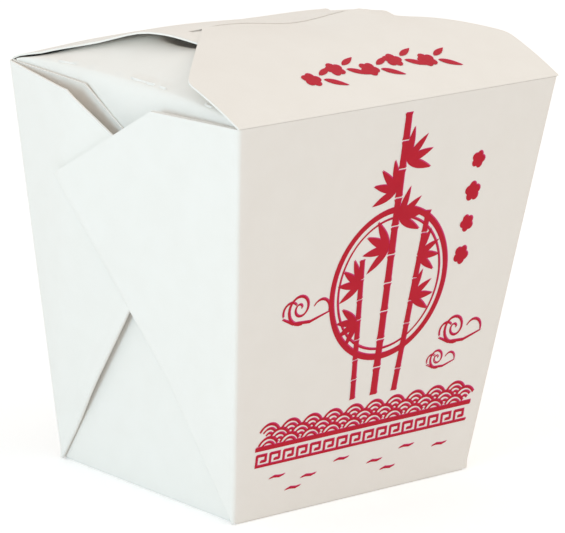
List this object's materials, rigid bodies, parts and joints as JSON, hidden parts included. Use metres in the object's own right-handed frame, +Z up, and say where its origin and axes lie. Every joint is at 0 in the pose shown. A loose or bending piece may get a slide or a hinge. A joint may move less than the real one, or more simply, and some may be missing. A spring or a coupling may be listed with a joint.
{
  "type": "takeout carton",
  "caption": "Folded paperboard takeout carton: flared walls, corner webs folded double, dust flaps, a slit rear flap and a hinged front lid flap with a tongue.",
  "frame": {"origin": "middle of the underside of the base", "axes": "+Z up, the front wall with the lid's hinge faces -Y, +X to the right of someone who faces the front"},
  "size_m": [0.1216, 0.086, 0.118],
  "materials": {
    "board": "satin"
  },
  "bodies": {
    "carton": {"carton_body": "board"},
    "lid": {"front_lid_flap": "board"}
  },
  "joints": [
    {"name": "lid_hinge", "type": "hinge", "parent": "carton", "child": "lid", "pos_m": [0, -0.04278, 0.105], "axis": [1, 0, 0], "range_deg": [0, 180]}
  ]
}
